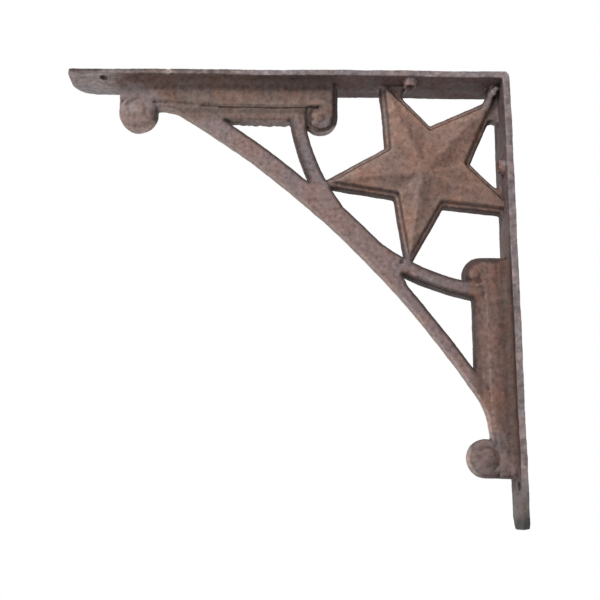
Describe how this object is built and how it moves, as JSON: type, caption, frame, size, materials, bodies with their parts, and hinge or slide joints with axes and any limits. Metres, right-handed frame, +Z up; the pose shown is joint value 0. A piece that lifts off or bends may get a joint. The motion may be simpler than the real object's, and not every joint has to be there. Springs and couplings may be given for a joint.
{
  "type": "shelf bracket",
  "caption": "Openwork cast iron shelf bracket with a raised star, a curved rib, braces and scroll-ended panels, rusty brown.",
  "frame": {"origin": "on the wall flange's flat wall face, midway between its two screw holes and in the middle of the flange's width", "axes": "+X out of the bracket into the wall, with the shelf arm reaching to -X; +Y across the flanges, away from the star's raised face; +Z up, out of the shelf face"},
  "size_m": [0.24, 0.026, 0.242],
  "materials": {
    "cast_iron": "rough rusty casting skin"
  },
  "bodies": {
    "root": {"bracket_casting": "cast_iron"}
  },
  "joints": []
}
